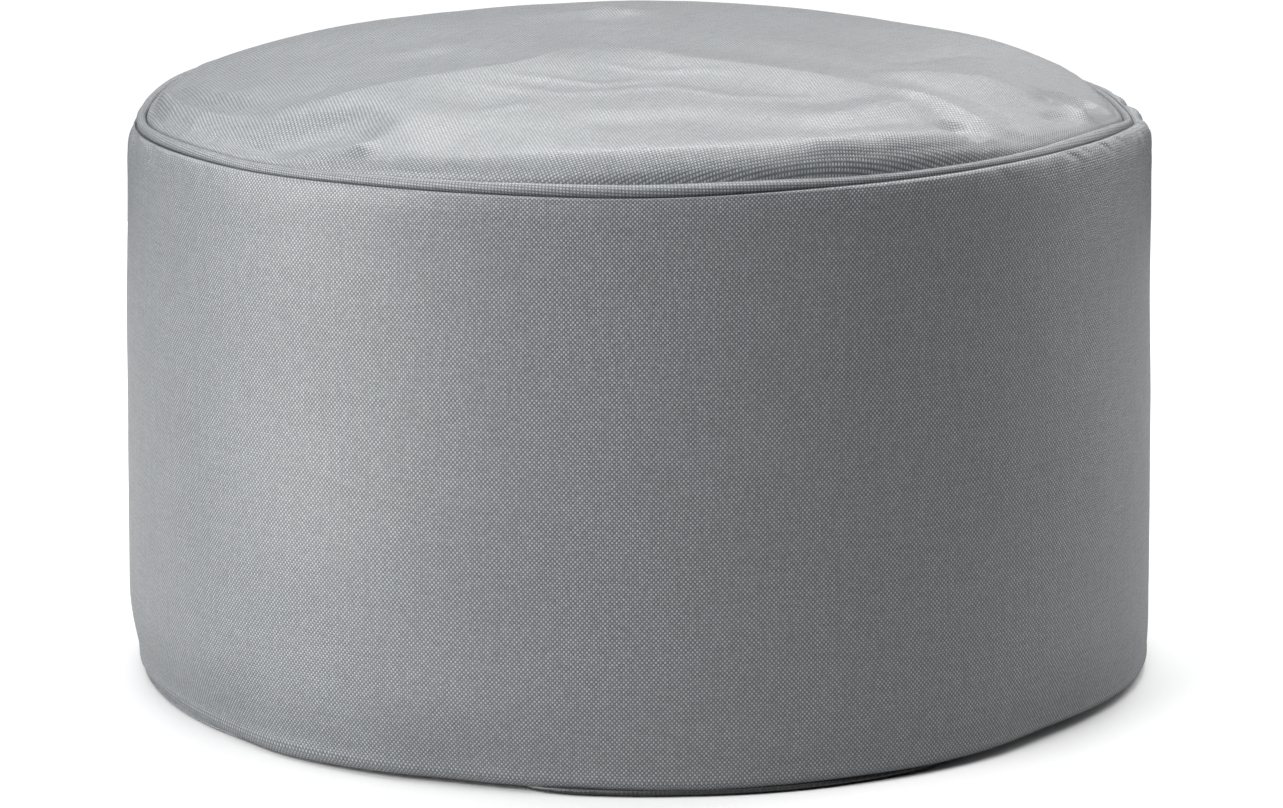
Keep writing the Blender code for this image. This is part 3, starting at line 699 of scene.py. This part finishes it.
def mapWelt(mesh):
    # the strip is cut on the bias, so its map is turned half way to the seam
    points = np.empty(len(mesh.vertices) * 3)
    mesh.vertices.foreach_get("co", points)
    points = points.reshape(-1, 3)
    corners = np.empty(len(mesh.loops), dtype=np.int32)
    mesh.loops.foreach_get("vertex_index", corners)
    starts = np.empty(len(mesh.polygons), dtype=np.int32)
    mesh.polygons.foreach_get("loop_start", starts)
    radius, azimuth = polar(points)
    out = radius - seam["radius"] - aroundBag(seam["path"], 1, azimuth) * mm
    up = points[:, 2] - seam["height"] - aroundBag(seam["path"], 2, azimuth) * mm
    face = np.repeat(np.arange(len(starts)), np.diff(np.r_[starts, len(corners)]))
    along = np.radians(azimuth)[corners]
    section = np.arctan2(up, out)[corners]
    for value in (along, section):
        first = value[starts][face]
        value -= 2 * math.pi * np.round((value - first) / (2 * math.pi))
    along = along * seam["radius"]
    section = section * seam["weltRadius"]
    layer = mesh.uv_layers.new(name="clothMap")
    flat = np.stack([(along + section) * math.sqrt(0.5), (along - section) * math.sqrt(0.5)], axis=1)
    layer.data.foreach_set("uv", flat.ravel())


# Cloth finishes
def mathNode(tree, operation, first, second=None):
    node = tree.nodes.new("ShaderNodeMath")
    node.operation = operation
    for socket, value in zip(node.inputs, (first, second)):
        if value is None:
            continue
        if isinstance(value, (int, float)):
            socket.default_value = value
        else:
            tree.links.new(value, socket)
    return node.outputs[0]


yarnShape = {
    "blend": 0.45,             # how softly one yarn gives way to the other, in yarn heights
    "betweenYarns": 0.71,      # how far two neighbouring yarns lie apart in the slubs' noise
    "slubLength": 0.045,       # and two neighbouring crossings of one yarn
    "slubPlaces": (3.1, 8.7),  # where warp and weft read that noise
    "slubDetail": 2.0,
}


def plainWeaveGroup():
    # two yarns that pass over and under each other, from a map in metres
    tree = bpy.data.node_groups.new("plainWeave", "ShaderNodeTree")
    tree.interface.new_socket("Map", in_out="INPUT", socket_type="NodeSocketVector")
    tree.interface.new_socket("Pitch across", in_out="INPUT", socket_type="NodeSocketFloat")
    tree.interface.new_socket("Pitch along", in_out="INPUT", socket_type="NodeSocketFloat")
    for name in ("Height", "Warp on top", "Slub", "Chance"):
        tree.interface.new_socket(name, in_out="OUTPUT", socket_type="NodeSocketFloat")
    start = tree.nodes.new("NodeGroupInput")
    end = tree.nodes.new("NodeGroupOutput")
    split = tree.nodes.new("ShaderNodeSeparateXYZ")
    tree.links.new(start.outputs["Map"], split.inputs[0])
    s = mathNode(tree, "DIVIDE", split.outputs[0], start.outputs["Pitch across"])
    t = mathNode(tree, "DIVIDE", split.outputs[1], start.outputs["Pitch along"])
    warpNumber = mathNode(tree, "FLOOR", s)
    weftNumber = mathNode(tree, "FLOOR", t)
    sinS = mathNode(tree, "SINE", mathNode(tree, "MULTIPLY", s, math.pi))
    sinT = mathNode(tree, "SINE", mathNode(tree, "MULTIPLY", t, math.pi))
    warpRound = mathNode(tree, "ABSOLUTE", sinS)
    weftRound = mathNode(tree, "ABSOLUTE", sinT)
    warpSign = mathNode(tree, "COSINE", mathNode(tree, "MULTIPLY", warpNumber, math.pi))
    weftSign = mathNode(tree, "COSINE", mathNode(tree, "MULTIPLY", weftNumber, math.pi))
    warpWave = mathNode(tree, "MULTIPLY", sinT, warpSign)
    weftWave = mathNode(tree, "MULTIPLY", mathNode(tree, "MULTIPLY", sinS, weftSign), -1.0)
    warpHeight = mathNode(tree, "ADD", warpRound, warpWave)
    weftHeight = mathNode(tree, "ADD", weftRound, weftWave)
    height = mathNode(tree, "MULTIPLY", mathNode(tree, "MAXIMUM", warpHeight, weftHeight), 0.5)
    crossing = tree.nodes.new("ShaderNodeCombineXYZ")
    tree.links.new(warpNumber, crossing.inputs[0])
    tree.links.new(weftNumber, crossing.inputs[1])
    chance = tree.nodes.new("ShaderNodeTexWhiteNoise")
    tree.links.new(crossing.outputs[0], chance.inputs["Vector"])
    over = tree.nodes.new("ShaderNodeMapRange")
    over.interpolation_type = "SMOOTHSTEP"
    over.inputs["From Min"].default_value = -yarnShape["blend"]
    over.inputs["From Max"].default_value = yarnShape["blend"]
    tree.links.new(mathNode(tree, "SUBTRACT", warpHeight, weftHeight), over.inputs["Value"])
    slubs = []
    for number, run, depth in zip((warpNumber, weftNumber), (t, s), yarnShape["slubPlaces"]):
        place = tree.nodes.new("ShaderNodeCombineXYZ")
        tree.links.new(mathNode(tree, "MULTIPLY", number, yarnShape["betweenYarns"]), place.inputs[0])
        tree.links.new(mathNode(tree, "MULTIPLY", run, yarnShape["slubLength"]), place.inputs[1])
        place.inputs[2].default_value = depth
        noise = tree.nodes.new("ShaderNodeTexNoise")
        noise.inputs["Scale"].default_value = 1.0
        noise.inputs["Detail"].default_value = yarnShape["slubDetail"]
        tree.links.new(place.outputs[0], noise.inputs["Vector"])
        slubs.append(noise.outputs[0])
    slub = tree.nodes.new("ShaderNodeMix")
    tree.links.new(over.outputs["Result"], slub.inputs[0])
    tree.links.new(slubs[1], slub.inputs[2])
    tree.links.new(slubs[0], slub.inputs[3])
    tree.links.new(height, end.inputs["Height"])
    tree.links.new(over.outputs["Result"], end.inputs["Warp on top"])
    tree.links.new(slub.outputs[0], end.inputs["Slub"])
    tree.links.new(chance.outputs["Value"], end.inputs["Chance"])
    return tree


clothFinish = {
    "warpColour": (0.500, 0.521, 0.544),
    "weftColour": (0.205, 0.217, 0.231),
    "pitchAcross": 2 * math.pi * sidePanel["wallRadius"] / sidePanel["yarns"],
    "pitchAlong": 1.0 * mm,
    "relief": 0.11 * mm,
    "slubs": 0.14,             # how much the shade changes along a yarn
    "crossings": 0.13,         # from one crossing to the next
    "blotches": 0.05,          # and in blotches
    "blotchScale": 26,
    "blotchDetail": 3,
    "paintedGapShade": 0.12,          # the colour's share at the bottom of a gap between yarns: painted shade
    "fullShadeAt": 0.85,       # the height from which a yarn has its full colour, free of the painted gap shade
    "roughness": 0.38,
    "slubRoughness": 0.16,
    "polish": 0.24,            # how much smoother the yarns' crowns are than the gaps
    "specular": 1.0,
    "sheen": 0.03,
    "sheenRoughness": 0.5,
}
baseFinish = dict(
    clothFinish,
    warpColour=(0.075, 0.078, 0.083),
    weftColour=(0.04, 0.042, 0.046),
)
# The welt's colours are a tenth darker than the grey cloth's: painted shade on the cord. Its slubs vary a
# little less.
weltFinishWithPaintedShade = dict(
    clothFinish,
    warpColour=(0.450, 0.469, 0.490),
    weftColour=(0.184, 0.195, 0.208),
    slubs=0.12,
)


def shadeAround(tree, value, spread):
    # from 1 - spread to 1 + spread as the value goes from 0 to 1
    shade = mathNode(tree, "MULTIPLY_ADD", value, 2 * spread)
    shade.node.inputs[2].default_value = 1 - spread
    return shade


def clothMaterial(name, finish, weaveGroup):
    material = bpy.data.materials.new(name)
    material.use_nodes = True
    tree = material.node_tree
    shader = tree.nodes["Principled BSDF"]
    clothMap = tree.nodes.new("ShaderNodeUVMap")
    clothMap.uv_map = "clothMap"
    weave = tree.nodes.new("ShaderNodeGroup")
    weave.node_tree = weaveGroup
    weave.inputs["Pitch across"].default_value = finish["pitchAcross"]
    weave.inputs["Pitch along"].default_value = finish["pitchAlong"]
    tree.links.new(clothMap.outputs[0], weave.inputs["Map"])
    yarns = tree.nodes.new("ShaderNodeMix")
    yarns.data_type = "RGBA"
    yarns.inputs[6].default_value = (*finish["weftColour"], 1)
    yarns.inputs[7].default_value = (*finish["warpColour"], 1)
    tree.links.new(weave.outputs["Warp on top"], yarns.inputs[0])
    blotch = tree.nodes.new("ShaderNodeTexNoise")
    blotch.inputs["Scale"].default_value = finish["blotchScale"]
    blotch.inputs["Detail"].default_value = finish["blotchDetail"]
    place = tree.nodes.new("ShaderNodeTexCoord")
    tree.links.new(place.outputs["Object"], blotch.inputs["Vector"])
    bySlub = shadeAround(tree, weave.outputs["Slub"], finish["slubs"])
    byBlotch = shadeAround(tree, blotch.outputs[0], finish["blotches"])
    byCrossing = shadeAround(tree, weave.outputs["Chance"], finish["crossings"])
    # painted shade: the colour darkens towards the bottom of the gaps between yarns, where shade falls
    paintedGapShadeMask = tree.nodes.new("ShaderNodeMapRange")
    paintedGapShadeMask.inputs["To Min"].default_value = finish["paintedGapShade"]
    paintedGapShadeMask.inputs["From Max"].default_value = finish["fullShadeAt"]
    tree.links.new(weave.outputs["Height"], paintedGapShadeMask.inputs["Value"])
    shade = mathNode(tree, "MULTIPLY", bySlub, byCrossing)
    shade = mathNode(tree, "MULTIPLY", shade, byBlotch)
    shade = mathNode(tree, "MULTIPLY", shade, paintedGapShadeMask.outputs["Result"])
    tone = tree.nodes.new("ShaderNodeVectorMath")
    tone.operation = "SCALE"
    tree.links.new(yarns.outputs[2], tone.inputs[0])
    tree.links.new(shade, tone.inputs["Scale"])
    tree.links.new(tone.outputs[0], shader.inputs["Base Color"])
    rough = mathNode(tree, "MULTIPLY_ADD", weave.outputs["Slub"], finish["slubRoughness"])
    roughest = finish["roughness"] - finish["slubRoughness"] / 2 + finish["polish"] / 2
    rough.node.inputs[2].default_value = roughest
    polish = mathNode(tree, "MULTIPLY", weave.outputs["Height"], finish["polish"])
    tree.links.new(mathNode(tree, "SUBTRACT", rough, polish), shader.inputs["Roughness"])
    bump = tree.nodes.new("ShaderNodeBump")
    bump.inputs["Distance"].default_value = finish["relief"]
    bump.inputs["Strength"].default_value = 1.0
    tree.links.new(weave.outputs["Height"], bump.inputs["Height"])
    tree.links.new(bump.outputs[0], shader.inputs["Normal"])
    shader.inputs["Metallic"].default_value = 0.0
    shader.inputs["Specular IOR Level"].default_value = finish["specular"]
    shader.inputs["Sheen Weight"].default_value = finish["sheen"]
    shader.inputs["Sheen Roughness"].default_value = finish["sheenRoughness"]
    return material


weaveGroup = plainWeaveGroup()
greyCloth = clothMaterial("greyOutdoorCloth", clothFinish, weaveGroup)
# the welt's material carries the painted shade of its darker colours
weltMaterialWithPaintedShade = clothMaterial("weltClothWithPaintedShade", weltFinishWithPaintedShade, weaveGroup)
darkBase = clothMaterial("darkBaseCloth", baseFinish, weaveGroup)
print("cloth finishes ready")

topPiece = makeTopPanel()
topPiece.data.materials.append(greyCloth)
print("top panel:", len(topPiece.data.polygons), "faces")
sidePiece = makeSidePanel()
sidePiece.data.materials.append(greyCloth)
print("side panel:", len(sidePiece.data.polygons), "faces")
basePiece = makeBasePanel()
basePiece.data.materials.append(darkBase)
weltPiece = makeWelt(weltMaterialWithPaintedShade)
print("welt:", len(weltPiece.data.polygons), "faces")

for piece, node, slotName in (
    (topPiece, "top_panel", "cloth"),
    (sidePiece, "side_panel", "cloth"),
    (basePiece, "base_panel", "base_cloth"),
    (weltPiece, "top_welt", "welt_cloth"),
):
    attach(piece, "root")
    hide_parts(node)
print("pieces ride on the frame")


# Floor and light
studio = {
    "floorRadius": 1.15,
    "floorSides": 96,
    "floorSeen": 1.10,         # the paper as the camera sees it, lit to plain white
    "floorShed": 0.45,         # what it throws back on the bag
    "backdrop": 1.05,          # what the camera sees beyond the floor
    "ambient": 0.0,            # what that backdrop sheds on the bag
    "aimHeight": 0.15,         # every lamp points at the bag's middle at this height
    "lamps": (                 # name, place, width, height, watts
        ("leftBox", (-2.39, -0.78, 0.44), 1.3, 0.85, 31.0),
        ("frontLeftBox", (-1.51, -1.51, 1.64), 1.3, 1.2, 33.0),
        ("farLeftLowBox", (-2.30, 1.07, 0.69), 0.9, 1.3, 4.0),
        ("rightLowBox", (2.30, 1.07, 0.69), 0.9, 1.3, 12.0),
        ("rightBox", (1.81, 0.84, 1.82), 0.9, 1.2, 8.9),
        ("lowBackBox", (0.00, 2.51, 0.82), 2.4, 0.8, 2.3),
        ("lowBackRightBox", (1.22, 2.12, 1.04), 1.6, 0.8, 3.9),
        ("backHighBox", (0.00, 1.60, 2.20), 2.0, 0.9, 32.0),
        ("backRightBox", (1.05, 1.51, 1.99), 1.4, 0.9, 4.5),
        ("farBackLeftBox", (-1.84, 1.06, 1.64), 1.2, 1.0, 13.0),
        ("overheadBox", (0.00, 0.00, 2.60), 1.6, 1.6, 9.8),
        ("frontRightTopBox", (0.70, -0.60, 2.45), 1.4, 1.4, 24.4),
    ),
}


def seenOrShed(tree, seen, shed):
    # one strength for what the camera sees and another for what the bag gets
    path = tree.nodes.new("ShaderNodeLightPath")
    strength = mathNode(tree, "MULTIPLY_ADD", path.outputs["Is Camera Ray"], seen - shed)
    strength.node.inputs[2].default_value = shed
    return strength


def makeFloor():
    sides = studio["floorSides"]
    radius = studio["floorRadius"]
    floorMesh = bpy.data.meshes.new("studioFloor")
    turn = np.radians(np.arange(sides) * 360 / sides)
    rim = [(radius * math.cos(a), radius * math.sin(a), 0) for a in turn]
    floorMesh.from_pydata(rim, [], [list(range(sides))])
    floor = bpy.data.objects.new("studioFloor", floorMesh)
    bpy.context.scene.collection.objects.link(floor)
    paper = bpy.data.materials.new("palePaper")
    paper.use_nodes = True
    tree = paper.node_tree
    tree.nodes.remove(tree.nodes["Principled BSDF"])
    matt = tree.nodes.new("ShaderNodeBsdfDiffuse")
    tree.links.new(seenOrShed(tree, studio["floorSeen"], studio["floorShed"]), matt.inputs["Color"])
    tree.links.new(matt.outputs[0], tree.nodes["Material Output"].inputs["Surface"])
    floorMesh.materials.append(paper)


def makeBackdrop():
    world = bpy.data.worlds.new("studioWorld")
    bpy.context.scene.world = world
    world.use_nodes = True
    tree = world.node_tree
    sky = tree.nodes["Background"]
    sky.inputs["Color"].default_value = (1, 1, 1, 1)
    tree.links.new(seenOrShed(tree, studio["backdrop"], studio["ambient"]), sky.inputs["Strength"])


def makeLamps():
    for name, place, width, height, watts in studio["lamps"]:
        lampData = bpy.data.lights.new(name, "AREA")
        lampData.shape = "RECTANGLE"
        lampData.size = width
        lampData.size_y = height
        lampData.energy = watts
        lamp = bpy.data.objects.new(name, lampData)
        bpy.context.scene.collection.objects.link(lamp)
        lamp.location = place
        aim = -lamp.location
        aim.z += studio["aimHeight"]
        lamp.rotation_euler = aim.to_track_quat("-Z", "Y").to_euler()


makeFloor()
makeBackdrop()
makeLamps()
print("floor and lamps placed")
